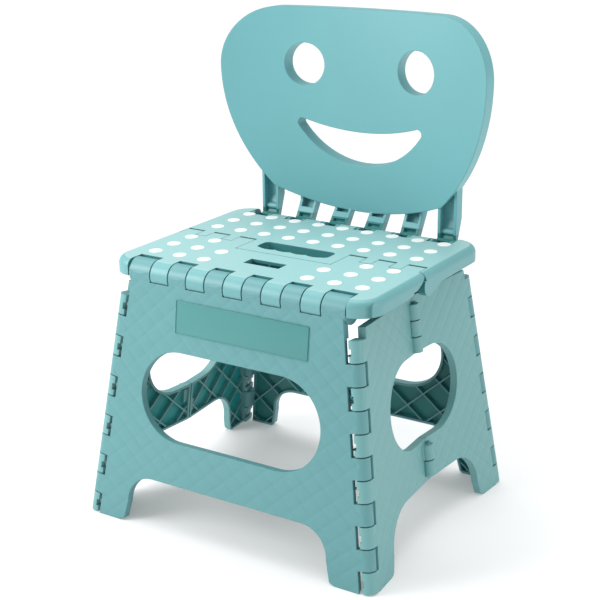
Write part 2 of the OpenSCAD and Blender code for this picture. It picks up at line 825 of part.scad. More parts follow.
// Centre hinge barrels with the webs up to the seat's skin
module centre_barrels(list, gap) {
  for (t = list) {
    x_rod(t[0] + gap, t[1] - gap, 0, hinge_z, centre_r);
    block([t[0] + gap, -centre_r + 1.5, hinge_z], [t[1] - gap, centre_r - 1.5, seat_top - 1]);
  }
}

module front_seat_panel() {
  y_in = -hinge_span + end_r;
  y_seam = -tongue_reach - seat_wall;
  color(teal) difference() {
    union() {
      difference() {
        intersection() {
          whole_seat();
          translate([0, 0, seat_low - 1]) linear_extrude(skirt_h + 2) front_plan(seam_gap);
        }
        seat_hollow(y_in, y_seam);
        for (m = [0, 1]) mirror([m, 0, 0]) {
          block([tongue_half_w + seat_wall, y_seam - 1, seat_low - 1],
            [seat_half_w - seat_wall, -centre_r - centre_play - seat_wall, seat_top - seat_skin]);
          x_rod(lug_x, seat_half_w + 1, 0, hinge_z, lug_r + lug_play);
        }
        under_centre(tongue_reach + seat_wall);
        front_skirt_curve();
        block([-end_x - knuckle_gap / 2, -far, seat_low - 1],
          [end_x + knuckle_gap / 2, -hinge_span, seat_top + 1]);
      }
      end_barrels();
      centre_barrels(tabs, 0);
    }
    end_slots(-far);
    seat_end_bore(-hinge_span);
    x_rod(-seat_half_w + 2, seat_half_w - 2, 0, hinge_z, centre_play_r);
    small_slot();
    barrel_room(fingers, 0);
  }
}

// Room in one seat panel for the other panel's centre barrels
module barrel_room(list, gap) {
  for (t = list) x_rod(t[0] - gap, t[1] + gap, 0, hinge_z, centre_r + centre_play);
}

// Rounded lower corner of the front panel's skirt
module front_skirt_curve() {
  difference() {
    block([-far, -skirt_curve_y, seat_low - 1], [far, 1, seat_top - seat_skin]);
    x_rod(-far, far, -skirt_curve_y, seat_low + skirt_curve_r, skirt_curve_r);
    block([-lug_x, -skirt_curve_y - 1, seat_low - 2], [lug_x, 2, seat_top]);
  }
}

// Small slot in the front panel
module small_slot() {
  block([-small_slot_half_w, -small_slot_y - small_slot_depth / 2, seat_low - 2],
    [small_slot_half_w, -small_slot_y + small_slot_depth / 2, seat_top + 1]);
}

// Handle slot seen from above, grown by wall
module grip_plan(wall) {
  r = grip_corner_r + wall;
  x = grip_half_w + wall;
  y0 = grip_back - grip_depth + grip_dip - wall;
  y1 = grip_back + wall;
  for (m = [0, 1], y = [y0 + r, y1 - r]) mirror([m, 0]) translate([x - r, y]) circle(r);
  translate([r - x, y0]) square([2 * (x - r), y1 - y0]);
  translate([-x, y0 + r]) square([2 * x, y1 - y0 - 2 * r]);
  if (wall == 0) finger_hollows();
}

// Hollows for the fingers, between the handle slot's corners
module finger_hollows() {
  step = 2 * (grip_half_w - grip_corner_r) / grip_fingers;
  r = pow(step / 2, 2) / (2 * grip_dip) + grip_dip / 2;
  for (k = [0:grip_fingers - 1])
    translate([grip_corner_r - grip_half_w + (k + 0.5) * step, grip_back - grip_depth + r])
      intersection() {
        circle(r);
        translate([-step / 2, -r]) square([step, r]);
      }
}

module rear_seat_panel() {
  y_in = hinge_span - end_r;
  y_seam = centre_r + centre_play + seat_wall;
  color(teal) difference() {
    union() {
      difference() {
        intersection() {
          whole_seat();
          translate([0, 0, seat_low - 1]) linear_extrude(skirt_h + 2) rear_plan();
        }
        seat_hollow(y_seam, y_in);
        under_centre(lug_blend_y);
        barrel_room(tabs, seam_gap / 2);
        block([-tongue_half_w + 4, -tongue_reach + 4, seat_low - 1],
          [tongue_half_w - 4, y_seam + 1, seat_top - seat_skin]);
        block([-end_x - knuckle_gap / 2, hinge_span, seat_low - 1],
          [end_x + knuckle_gap / 2, far, seat_top + 1]);
      }
      mirror([0, 1, 0]) end_barrels();
      centre_barrels(fingers, seam_gap / 2);
      for (m = [0, 1]) mirror([m, 0, 0]) side_lug();
      translate([0, 0, seat_rib_low]) linear_extrude(seat_top - seat_rib_low - 1)
        grip_plan(grip_wall);
    }
    mirror([0, 1, 0]) end_slots(-far);
    seat_end_bore(hinge_span);
    x_rod(-seat_half_w + 2, seat_half_w - 2, 0, hinge_z, centre_rod_r + rod_fit);
    translate([0, 0, seat_low - 2]) linear_extrude(skirt_h + 4) grip_plan(0);
  }
}

// Lug at the end of the centre hinge and its blend into the skirt
module side_lug() {
  x0 = lug_x + seam_gap / 2;
  blend_r = 18;
  intersection() {
    union() {
      x_rod(x0, seat_half_w, 0, hinge_z, lug_r);
      difference() {
        block([x0, 0, hinge_z - lug_r + 2.5], [seat_half_w, lug_blend_y + 1, seat_rib_low + 1]);
        x_rod(x0 - 1, seat_half_w + 1, lug_blend_y, seat_low - blend_r, blend_r);
      }
    }
    block([0, -far, 0], [seat_half_w, far, seat_top - seat_edge_r]);
  }
}

// Grip dots

module dot(x, y) {
  translate([x, y, seat_top]) cylinder(r = dot_r, h = dot_h, $fn = 32);
}

module front_seat_dots() {
  color("white") for (s = [-1, 1]) {
    for (i = [3, 4]) dot(s * i * dot_pitch, -dot_front_y);
    for (j = [1, 2], i = [2, 3, 4]) dot(s * i * dot_pitch, -dot_front_y - j * dot_pitch);
  }
}

module rear_seat_dots() {
  color("white") for (j = [0:2], i = [-4:4]) dot(i * dot_pitch, dot_rear_y + j * dot_pitch);
}

// Rods and label

module front_seat_rod() {
  color(steel) x_rod(-end_x + 4, end_x - 4, -hinge_span, hinge_z, seat_rod_r);
}

module rear_seat_rod() {
  color(steel) x_rod(-end_x + 4, end_x - 4, hinge_span, hinge_z, seat_rod_r);
}

module centre_rod() {
  x_rod(tab_first - tab_w / 2 + 1, seat_half_w - 3, 0, hinge_z, centre_rod_r);
}

module right_centre_rod() {
  color(steel) centre_rod();
}

module left_centre_rod() {
  color(steel) mirror([1, 0, 0]) centre_rod();
}

module corner_rod() {
  leg_corner() translate([0, 0, corner_seg * 0.2 + 0.5])
    cylinder(r = rod_r, h = corner_seg * (corner_count - 0.4) - 1);
}

module front_right_corner_rod() {
  color(steel) corner_rod();
}

module front_left_corner_rod() {
  color(steel) mirror([1, 0, 0]) corner_rod();
}

module rear_right_corner_rod() {
  color(steel) mirror([0, 1, 0]) corner_rod();
}

module rear_left_corner_rod() {
  color(steel) mirror([1, 0, 0]) mirror([0, 1, 0]) corner_rod();
}

// Rod through a run of side hinge knuckles
module side_rod(list) {
  z0 = list[0][0] + 1;
  z1 = list[len(list) - 1][1] - 1;
  side_frame() translate([0, 0, z0]) cylinder(r = rod_r, h = z1 - z0);
}

module right_upper_side_rod() {
  color(steel) side_rod(high_knuckles);
}

module right_lower_side_rod() {
  color(steel) side_rod(low_knuckles);
}

module left_upper_side_rod() {
  color(steel) mirror([1, 0, 0]) side_rod(high_knuckles);
}

module left_lower_side_rod() {
  color(steel) mirror([1, 0, 0]) side_rod(low_knuckles);
}

module label_plate() {
  color("#6fb3a8") leg_frame() translate([0, -panel_t, label_z / cos(lean_y)])
    rotate([90, 0, 0]) translate([label_x - label_w / 2, -label_h / 2])
      cube([label_w, label_h, label_t]);
}

front_leg_panel();
rear_leg_panel();
backrest();
left_side_front_half();
left_side_rear_half();
right_side_front_half();
right_side_rear_half();
front_seat_panel();
rear_seat_panel();
front_seat_rod();
rear_seat_rod();
left_centre_rod();
right_centre_rod();
front_left_corner_rod();
front_right_corner_rod();
rear_left_corner_rod();
rear_right_corner_rod();
left_upper_side_rod();
left_lower_side_rod();
right_upper_side_rod();
right_lower_side_rod();
front_seat_dots();
rear_seat_dots();
label_plate();
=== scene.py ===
"""Looks of a folding stool with a backrest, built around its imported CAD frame."""

from __future__ import annotations

import logging
import math
import sys
from dataclasses import dataclass
from enum import Enum
from typing import Any, Sequence

import bpy
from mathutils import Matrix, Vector

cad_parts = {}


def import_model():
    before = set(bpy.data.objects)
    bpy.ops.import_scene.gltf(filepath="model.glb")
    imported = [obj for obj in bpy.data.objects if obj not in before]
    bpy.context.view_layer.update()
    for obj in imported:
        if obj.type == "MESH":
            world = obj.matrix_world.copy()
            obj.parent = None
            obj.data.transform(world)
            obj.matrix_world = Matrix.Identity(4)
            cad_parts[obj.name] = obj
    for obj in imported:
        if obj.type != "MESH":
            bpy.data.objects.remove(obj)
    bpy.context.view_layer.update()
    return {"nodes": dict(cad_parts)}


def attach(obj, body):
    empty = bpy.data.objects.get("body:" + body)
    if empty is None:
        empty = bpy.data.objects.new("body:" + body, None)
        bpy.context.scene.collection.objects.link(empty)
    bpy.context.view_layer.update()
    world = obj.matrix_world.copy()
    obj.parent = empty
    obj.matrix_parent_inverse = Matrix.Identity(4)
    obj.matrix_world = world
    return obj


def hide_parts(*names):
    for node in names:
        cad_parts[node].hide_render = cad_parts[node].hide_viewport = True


LOG = logging.getLogger("folding_stool")
MM = 0.001
WHITE = (1.0, 1.0, 1.0, 1.0)
SMOOTH_ANGLE = math.radians(35)
EDGE_SEGMENTS = 2
MIX_LOW = 6
MIX_HIGH = 7
MIX_RESULT = 2


class ReliefPlane(Enum):
    """Which way a panel's face looks, and so which two axes its relief runs along."""

    LEG = "leg"
    SIDE = "side"
    NONE = "none"


class Tone(Enum):
    """The teals of the mouldings, with the painted sheen and painted shade laid on some faces, as
    linear red, green and blue.
    """

    # Painted sheen: a whiter teal on the seat's upward faces.
    SEAT_TOP_SHEEN = (0.285, 0.505, 0.505)
    SEAT = (0.138, 0.368, 0.382)
    # Painted shade: a dark teal on the walls of the seat's slots and seams.
    SEAT_SLOT_SHADE = (0.035, 0.200, 0.205)
    LEG = (0.106, 0.302, 0.317)
    # Painted shade: the two cell tones darken the cell floors inside the leg and side panels.
    LEG_CELL_SHADE = (0.004, 0.175, 0.168)
    SIDE = (0.148, 0.365, 0.370)
    SIDE_CELL_SHADE = (0.010, 0.290, 0.285)
    BACK = (0.134, 0.394, 0.420)
    SCUFF = (0.30, 0.60, 0.61)


@dataclass(frozen=True)
class Speckle:
    """A noise: its features to a metre, its octaves and how strong the fine ones are."""

    scale: float
    detail: float
    roughness: float = 0.5


@dataclass(frozen=True)
class Stance:
    """How the panels stand: all their planes meet at one apex above the stool."""

    apex_z: float = 1200 * MM
    foot_x: float = 163 * MM
    foot_y: float = 137 * MM
    panel: float = 8 * MM
    bow: float = math.tan(math.radians(4.24))

    @property
    def lean(self) -> float:
        """Angle between the front leg's face and the upright."""
        return math.atan2(self.foot_y, self.apex_z)


def rgba(colour: Sequence[float], factor: float = 1.0) -> tuple[float, float, float, float]:
    """Colour with an alpha of 1, each channel times factor."""
    return (colour[0] * factor, colour[1] * factor, colour[2] * factor, 1.0)


class Value:
    """A shader socket that Python's operators add Math nodes to."""

    def __init__(self, graph: Graph, socket: bpy.types.NodeSocket) -> None:
        """Keep the socket and the graph that it belongs to."""
        self.graph = graph
        self.socket = socket

    def maths(self, operation: str, *others: Any) -> Value:
        """Add one Math node that starts from this value.

        Args:
            operation: The Math node's operation.
            others: The values or numbers on its further sockets.

        Returns:
            The node's result.
        """
        inputs = dict(enumerate((self, *others)))
        return self.graph.add("ShaderNodeMath", {"operation": operation}, inputs)

    def __add__(self, other: Any) -> Value:
        """Sum."""
        return self.maths("ADD", other)

    __radd__ = __add__

    def __mul__(self, other: Any) -> Value:
        """Product."""
        return self.maths("MULTIPLY", other)

    __rmul__ = __mul__

    def __sub__(self, other: Any) -> Value:
        """Difference."""
        return self.maths("SUBTRACT", other)

    def __rsub__(self, other: Any) -> Value:
        """Difference from a number, such as 1 - mask."""
        return self.graph.add("ShaderNodeMath", {"operation": "SUBTRACT"}, {0: other, 1: self})

    def __truediv__(self, other: Any) -> Value:
        """Quotient."""
        return self.maths("DIVIDE", other)

    def __abs__(self) -> Value:
        """Size without its sign."""
        return self.maths("ABSOLUTE")


class Graph:
    """Node tree of one material, with its Principled shader already in place."""

    def __init__(self, name: str, **constants: Any) -> None:
        """Make the material.

        Args:
            name: The material's name.
            constants: Values that are the same all over the surface, by socket name.
        """
        self.material = bpy.data.materials.new(name)
        self.material.use_nodes = True
        self.tree = self.material.node_tree
        self.shader = self.tree.nodes["Principled BSDF"]
        for socket, value in constants.items():
            self.shader.inputs[socket.replace("_", " ")].default_value = value

    def add(
        self,
        kind: str,
        settings: dict[str, Any] | None = None,
        inputs: dict[Any, Any] | None = None,
        output: int | str = 0,
    ) -> Value:
        """Add a node of any type.

        Args:
            kind: The node's type.
            settings: Its own settings, such as an operation, which are set first.
            inputs: Values or links of its sockets, by name or index.
            output: Which output is returned.

        Returns:
            The chosen output.
        """
        node = self.tree.nodes.new(kind)
        for key, value in (settings or {}).items():
            setattr(node, key, value)
        for key, value in (inputs or {}).items():
            if isinstance(value, Value):
                self.tree.links.new(value.socket, node.inputs[key])
            else:
                node.inputs[key].default_value = value
        return Value(self, node.outputs[output])

    def place(self) -> Value:
        """Object coordinates, in metres."""
        return self.add("ShaderNodeTexCoord", output="Object")

    def facing(self) -> Value:
        """Direction that the surface looks in, turned with the object."""
        return self.add("ShaderNodeTexCoord", output="Normal")

    def axes(self, vector: Value) -> tuple[Value, Value, Value]:
        """Split a vector.

        Args:
            vector: The vector, such as a place or a direction.

        Returns:
            Its X, Y and Z.
        """
        first = self.add("ShaderNodeSeparateXYZ", inputs={0: vector})
        outputs = first.socket.node.outputs
        return first, Value(self, outputs[1]), Value(self, outputs[2])

    def noise(self, at: Value, speckle: Speckle) -> Value:
        """Add a noise.

        Args:
            at: The place that it is read at.
            speckle: Its scale, detail and roughness.

        Returns:
            A value between 0 and 1.
        """
        inputs = {
            "Vector": at,
            "Scale": speckle.scale,
            "Detail": speckle.detail,
            "Roughness": speckle.roughness,
        }
        return self.add("ShaderNodeTexNoise", None, inputs)

    def blend(self, factor: Any, low: Any, high: Any) -> Value:
        """Mix two colours.

        Args:
            factor: 0 for the low colour and 1 for the high one.
            low: The colour at 0.
            high: The colour at 1.

        Returns:
            The mixed colour.
        """
        inputs = {0: factor, MIX_LOW: low, MIX_HIGH: high}
        return self.add("ShaderNodeMix", {"data_type": "RGBA"}, inputs, MIX_RESULT)

    def mottle(self, factor: Value, colour: Sequence[float], swing: Sequence[float]) -> Value:
        """Colour that a noise makes darker and lighter, between the swing's two shares."""
        return self.blend(factor, rgba(colour, swing[0]), rgba(colour, swing[1]))

    def smooth(self, value: Value, low: float, high: float) -> Value:
        """0 below low and 1 above high, with a soft step between."""
        settings = {"interpolation_type": "SMOOTHSTEP", "clamp": True}
        return self.add("ShaderNodeMapRange", settings, {0: value, 1: low, 2: high})

    def bump(
        self, height: Value, strength: float, depth: float, normal: Value | None = None
    ) -> Value:
        """Push the normal by a height.

        Args:
            height: The height, as a share of the depth.
            strength: How much of the push shows, from 0 to 1.
            depth: The depth, in metres.
            normal: The normal that is pushed, where it isn't the surface's own.

        Returns:
            The pushed normal.
        """
        inputs = {"Strength": strength, "Distance": depth, "Height": height}
        if normal is not None:
            inputs["Normal"] = normal
        return self.add("ShaderNodeBump", None, inputs)

    def feed(self, **links: Value) -> None:
        """Link values to the shader's sockets, by socket name."""
        for socket, value in links.items():
            self.tree.links.new(value.socket, self.shader.inputs[socket.replace("_", " ")])


@dataclass(frozen=True)
class Quilting:
    """Shallow pillows between grooves that cross, all over a panel's outer face."""

    pitch: float = 15 * MM
    angle: float = math.radians(42)
    centre_z: float = 143 * MM
    depth: float = 0.2 * MM
    groove: float = 3.2 * MM
    pillow: float = 0.45

    def height(self, graph: Graph, across: Value, z: Value) -> Value:
        """Work out the relief, one set of grooves for each slant.

        Args:
            graph: The material's node tree.
            across: Place along the panel's level axis.
            z: Height above the floor.

        Returns:
            A share of the depth, above 0 on a pillow and below 0 in a groove.
        """
        up = z - self.centre_z
        sine, cosine = math.sin(self.angle), math.cos(self.angle)
        slants = []
        for sign in (-1, 1):
            line = (up * cosine + across * (sign * sine)) / self.pitch
            away = abs(line.maths("FRACT") - 0.5) * self.pitch
            dip = 1 - graph.smooth(away, 0.0, self.groove)
            slants.append(graph.smooth(away, 0.0, self.pitch / 2) * self.pillow - dip)
        return slants[0] + slants[1]


@dataclass(frozen=True)
class MouldedPlastic:
    """Satin injection moulded plastic with a fine spark texture and rounded edges.

    A pair of numbers is the start and the end of a soft step, or the darkest and the lightest
    share of a tone.
    """

    name: str
    tone: Tone
    relief: ReliefPlane = ReliefPlane.NONE
    # cells is the dark tone painted on the cell floors as shade.
    cells: Tone | None = None
    # top is the lighter tone painted on upward faces as a sheen.
    top: Tone | None = None
    edge_round: float = 0.9 * MM
    edge_samples: int = 6
    quilting: Quilting = Quilting()
    stance: Stance = Stance()
    outer_face: tuple[float, float] = (0.975, 0.99)
    inner_face: tuple[float, float] = (-0.35, -0.15)
    level_face: tuple[float, float] = (0.94, 0.995)
    upright_face: tuple[float, float] = (0.6, 0.8)
    cell_depth: tuple[float, float] = (1.8 * MM, 4.2 * MM)
    slots_x: float = 146 * MM
    slots_y: float = 95.5 * MM
    slots_edge: float = 1 * MM
    clouds: Speckle = Speckle(9.0, 3.0)
    grain: Speckle = Speckle(900.0, 2.0, 0.6)
    scuffs: Speckle = Speckle(60.0, 6.0, 0.7)
    scuffed: tuple[float, float] = (0.60, 0.78)
    scuff_share: float = 0.12
    swing: tuple[float, float] = (0.95, 1.05)
    specular: float = 0.6
    index: float = 1.49
    roughness: float = 0.36
    rough_clouds: float = 0.06
    rough_grain: float = 0.05
    rough_scuffs: float = 0.06
    grain_strength: float = 0.35
    grain_depth: float = 0.05 * MM

    def outward(self, graph: Graph, at: Value) -> Value:
        """Tell the outside of the stool from its inside.

        Args:
            graph: The material's node tree.
            at: Object coordinates.

        Returns:
            1 on a face that looks straight out of the stool and -1 on one that looks in.
        """
        x, y, _ = graph.axes(at)
        across, along, _ = graph.axes(graph.facing())
        if self.relief is ReliefPlane.SIDE:
            return across * x.maths("SIGN")
        return along * y.maths("SIGN")

    def quilted(self, graph: Graph, at: Value) -> Value:
        """Work out the relief of the panel's flat outer face.

        Args:
            graph: The material's node tree.
            at: Object coordinates.

        Returns:
            The relief's height, and 0 on the inside, edges and knuckles.
        """
        x, y, z = graph.axes(at)
        across = y if self.relief is ReliefPlane.SIDE else x
        flat = graph.smooth(self.outward(graph, at), *self.outer_face)
        return self.quilting.height(graph, across, z) * flat

    def cell_shade_mask(self, graph: Graph, at: Value) -> Value:
        """Find the floors of the cells behind a panel's face, where painted shade goes.

        Args:
            graph: The material's node tree.
            at: Object coordinates.

        Returns:
            1 on the floors and 0 on ribs, rims and the outside.
        """
        x, y, z = graph.axes(at)
        rise = 1 - z / self.stance.apex_z
        depth = abs(y) - rise * self.stance.foot_y
        if self.relief is ReliefPlane.SIDE:
            depth = abs(x) - rise * self.stance.foot_x - depth * self.stance.bow
        inside = 1 - graph.smooth(self.outward(graph, at), *self.inner_face)
        return graph.smooth(depth, *self.cell_depth) * inside

    def painted_sheen_mask(self, graph: Graph) -> Value:
        """1 on faces that look straight up, which get the painted sheen, and 0 on the rest."""
        _, _, up = graph.axes(graph.facing())
        return graph.smooth(up, *self.level_face)

    def slot_shade_mask(self, graph: Graph, at: Value) -> Value:
        """Find the walls of the seat's slots, seams and hollows, where painted shade goes.

        Args:
            graph: The material's node tree.
            at: Object coordinates.

        Returns:
            1 on those walls, which get the painted shade, and 0 on the rest.
        """
        x, y, _ = graph.axes(at)
        across, along, _ = graph.axes(graph.facing())
        walls = []
        for place, reach, looks in ((x, self.slots_x, across), (y, self.slots_y, along)):
            within = 1 - graph.smooth(abs(place), reach - self.slots_edge, reach)
            walls.append(graph.smooth(abs(looks), *self.upright_face) * within)
        return walls[0].maths("MAXIMUM", walls[1])

    def build(self) -> bpy.types.Material:
        """Make the material.

        Returns:
            The finished material.
        """
        graph = Graph(self.name, Specular_IOR_Level=self.specular, IOR=self.index)
        at = graph.place()
        cloud = graph.noise(at, self.clouds)
        grain = graph.noise(at, self.grain)
        scuff = graph.smooth(graph.noise(at, self.scuffs), *self.scuffed)
        colour = graph.mottle(cloud, self.tone.value, self.swing)
        colour = graph.blend(scuff * self.scuff_share, colour, rgba(Tone.SCUFF.value))
        # Painted shade: the cell floors between the ribs get a dark tone.
        if self.cells:
            colour = graph.blend(self.cell_shade_mask(graph, at), colour, rgba(self.cells.value))
        # Painted sheen on the upward faces, then painted shade on the slot and seam walls.
        if self.top:
            colour = graph.blend(self.painted_sheen_mask(graph), colour, rgba(self.top.value))
            # Painted shade: the slot and seam walls get a dark tone for the shade inside them.
            slots = self.slot_shade_mask(graph, at)
            colour = graph.blend(slots, colour, rgba(Tone.SEAT_SLOT_SHADE.value))
        varied = cloud * self.rough_clouds + grain * self.rough_grain + scuff * self.rough_scuffs
        edges = {"Radius": self.edge_round}
        normal = graph.add("ShaderNodeBevel", {"samples": self.edge_samples}, edges)
        normal = graph.bump(grain, self.grain_strength, self.grain_depth, normal)
        if self.relief is not ReliefPlane.NONE:
            normal = graph.bump(self.quilted(graph, at), 1.0, self.quilting.depth, normal)
        graph.feed(Base_Color=colour, Roughness=varied + self.roughness, Normal=normal)
        return graph.material


@dataclass(frozen=True)
class DotRubber:
    """Soft white rubber of the grip dots."""

    name: str = "white_grip_rubber"
    colour: tuple[float, float, float] = (0.86, 0.87, 0.86)
    clouds: Speckle = Speckle(120.0, 3.0)
    grain: Speckle = Speckle(2600.0, 2.0)
    swing: tuple[float, float] = (0.97, 1.03)
    specular: float = 0.45
    roughness: float = 0.42
    rough_clouds: float = 0.1
    grain_strength: float = 0.3
    grain_depth: float = 0.03 * MM

    def build(self) -> bpy.types.Material:
        """Make the material.

        Returns:
            The finished material.
        """
        graph = Graph(self.name, Specular_IOR_Level=self.specular)
        at = graph.place()
        cloud = graph.noise(at, self.clouds)
        colour = graph.mottle(cloud, self.colour, self.swing)
        rough = cloud * self.rough_clouds + self.roughness
        normal = graph.bump(graph.noise(at, self.grain), self.grain_strength, self.grain_depth)
        graph.feed(Base_Color=colour, Roughness=rough, Normal=normal)
        return graph.material


@dataclass(frozen=True)
class DrawnSteel:
    """Bright drawn wire, with fine streaks left by the die."""

    name: str = "drawn_steel_rod"
    colour: tuple[float, float, float] = (0.56, 0.57, 0.58)
    streaks: Speckle = Speckle(420.0, 5.0, 0.65)
    swing: tuple[float, float] = (0.8, 1.1)
    roughness: float = 0.22
    rough_streaks: float = 0.2
    streak_strength: float = 0.2
    streak_depth: float = 0.02 * MM

    def build(self) -> bpy.types.Material:
        """Make the material.

        Returns:
            The finished material.
        """
        graph = Graph(self.name, Metallic=1.0)
        streak = graph.noise(graph.place(), self.streaks)
        colour = graph.mottle(streak, self.colour, self.swing)
        rough = streak * self.rough_streaks + self.roughness
        normal = graph.bump(streak, self.streak_strength, self.streak_depth)
        graph.feed(Base_Color=colour, Roughness=rough, Normal=normal)
        return graph.material


@dataclass(frozen=True)
class BareFilm:
    """Smooth bare film of the label, a little greener than the plastic."""

    name: str = "bare_label_film"
    colour: tuple[float, float, float] = (0.066, 0.262, 0.256)
    clouds: Speckle = Speckle(30.0, 4.0)
    ripples: Speckle = Speckle(260.0, 3.0)
    swing: tuple[float, float] = (0.96, 1.05)
    specular: float = 0.5
    roughness: float = 0.3
    rough_ripples: float = 0.08
    ripple_strength: float = 0.25
    ripple_depth: float = 0.05 * MM

    def build(self) -> bpy.types.Material:
        """Make the material.

        Returns:
            The finished material.
        """
        graph = Graph(self.name, Specular_IOR_Level=self.specular)
        at = graph.place()
        ripple = graph.noise(at, self.ripples)
        colour = graph.mottle(graph.noise(at, self.clouds), self.colour, self.swing)
        rough = ripple * self.rough_ripples + self.roughness
        normal = graph.bump(ripple, self.ripple_strength, self.ripple_depth)
        graph.feed(Base_Color=colour, Roughness=rough, Normal=normal)
        return graph.material


@dataclass(frozen=True)
class StudioFloor:
    """Plain white studio floor."""

    name: str = "studio_floor"
    colour: tuple[float, float, float] = (0.66, 0.66, 0.66)
    clouds: Speckle = Speckle(2.0, 1.0)
    swing: tuple[float, float] = (0.995, 1.005)
    roughness: float = 0.7
    specular: float = 0.2
    glow: float = 0.23

    def build(self) -> bpy.types.Material:
        """Make the material.

        Returns:
            The finished material.
        """
        graph = Graph(
            self.name,
            Specular_IOR_Level=self.specular,
            Roughness=self.roughness,
            Emission_Color=WHITE,
            Emission_Strength=self.glow,
        )
        cloud = graph.noise(graph.place(), self.clouds)
        graph.feed(Base_Color=graph.mottle(cloud, self.colour, self.swing))
        return graph.material


def deselect() -> None:
    """Leave edit mode and select nothing."""
    if bpy.context.object and bpy.context.object.mode != "OBJECT":
        bpy.ops.object.mode_set(mode="OBJECT")
    bpy.ops.object.select_all(action="DESELECT")


def settle(piece: bpy.types.Object, name: str, material: bpy.types.Material) -> None:
    """Put a finished piece's place into its mesh, name it and give it its material.

    Args:
        piece: The piece, with its modifiers applied.
        name: Its final name.
        material: Its only material.
    """
    deselect()
    piece.select_set(True)
    bpy.context.view_layer.objects.active = piece
    bpy.ops.object.transform_apply(location=True, rotation=True, scale=True)
    bpy.ops.object.shade_smooth_by_angle(angle=SMOOTH_ANGLE)
    piece.name = name
    piece.data.name = name
    piece.data.materials.clear()
    piece.data.materials.append(material)
    deselect()


def round_edges(piece: bpy.types.Object, width: float) -> None:
    """Round a piece's sharp edges over.

    Args:
        piece: The piece, in object mode.
        width: Width of the rounding, in metres.
    """
    bpy.context.view_layer.objects.active = piece
    bevel = piece.modifiers.new("bevel", "BEVEL")
    bevel.width = width
    bevel.segments = EDGE_SEGMENTS
    bevel.limit_method = "ANGLE"
    bpy.ops.object.modifier_apply(modifier=bevel.name)


@dataclass(frozen=True)
class DotGroup:
    """Dots of one seat panel, row by row from the seat's middle outwards.

    The first row's place is first_y, and step is 1 to the back and -1 to the front. Each row
    skips the columns nearer the middle than its number in nearest.
    """

    piece: str
    node: str
    body: str
    first_y: float
    step: int
    nearest: tuple[int, ...]


@dataclass
class GripDots:
    """White dots pressed into the seat, one domed button copied to every place.

    Each ring of the dome is its width as a share of the radius and its rise as a share of the
    height, from the edge inwards.
    """

    rubber: bpy.types.Material
    seat_top: float = 274.5 * MM
    pitch: float = 30 * MM
    radius: float = 6.8 * MM
    height: float = 0.4 * MM
    sunk: float = 0.6 * MM
    columns: int = 4
    sides: int = 32
    looks_up: float = 0.9
    dome: tuple[tuple[float, float], ...] = ((0.05, 0.0), (0.12, 0.25), (0.4, 0.12))
    edge_share: float = 0.4
    groups: tuple[DotGroup, ...] = (
        DotGroup("rear_grip_dots", "rear_seat_dots", "rear_seat", 30 * MM, 1, (0, 0, 0)),
        DotGroup("front_grip_dots", "front_seat_dots", "front_seat", -17.5 * MM, -1, (3, 2, 2)),
    )

    def button(self) -> bpy.types.Object:
        """Model the one button at the origin, its top rounded over.

        Returns:
            The button.
        """
        deselect()
        depth = self.height + self.sunk
        bpy.ops.mesh.primitive_cylinder_add(
            vertices=self.sides,
            radius=self.radius,
            depth=depth,
            location=(0, 0, self.height - depth / 2),
        )
        piece = bpy.context.object
        bpy.ops.object.transform_apply(location=True)
        bpy.ops.object.mode_set(mode="EDIT")
        bpy.ops.mesh.select_mode(type="FACE")
        bpy.ops.mesh.select_all(action="DESELECT")
        bpy.ops.object.mode_set(mode="OBJECT")
        for face in piece.data.polygons:
            face.select = face.normal.z > self.looks_up
        bpy.ops.object.mode_set(mode="EDIT")
        for width, rise in self.dome:
            bpy.ops.mesh.inset(thickness=self.radius * width, depth=self.height * rise)
        bpy.ops.object.mode_set(mode="OBJECT")
        round_edges(piece, self.height * self.edge_share)
        return piece

    def places(self, group: DotGroup) -> list[tuple[float, float]]:
        """List where the dots of one seat panel are.

        Args:
            group: The panel's dots.

        Returns:
            The dots' centres, row by row.
        """
        spots = []
        for row, nearest in enumerate(group.nearest):
            for column in range(-self.columns, self.columns + 1):
                if abs(column) >= nearest:
                    y = group.first_y + group.step * row * self.pitch
                    spots.append((column * self.pitch, y))
        return spots

    def build(self) -> None:
        """Copy the button to every place, one joined piece for each seat panel."""
        master = self.button()
        for group in self.groups:
            deselect()
            copies = []
            for x, y in self.places(group):
                copy = master.copy()
                copy.data = master.data.copy()
                copy.location = (x, y, self.seat_top)
                bpy.context.collection.objects.link(copy)
                copy.select_set(True)
                copies.append(copy)
            bpy.context.view_layer.objects.active = copies[0]
            bpy.ops.object.join()
            piece = bpy.context.object
            settle(piece, group.piece, self.rubber)
            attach(piece, group.body)
            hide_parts(group.node)
            LOG.info("%s: %d dots", group.piece, len(copies))
        bpy.data.objects.remove(master)


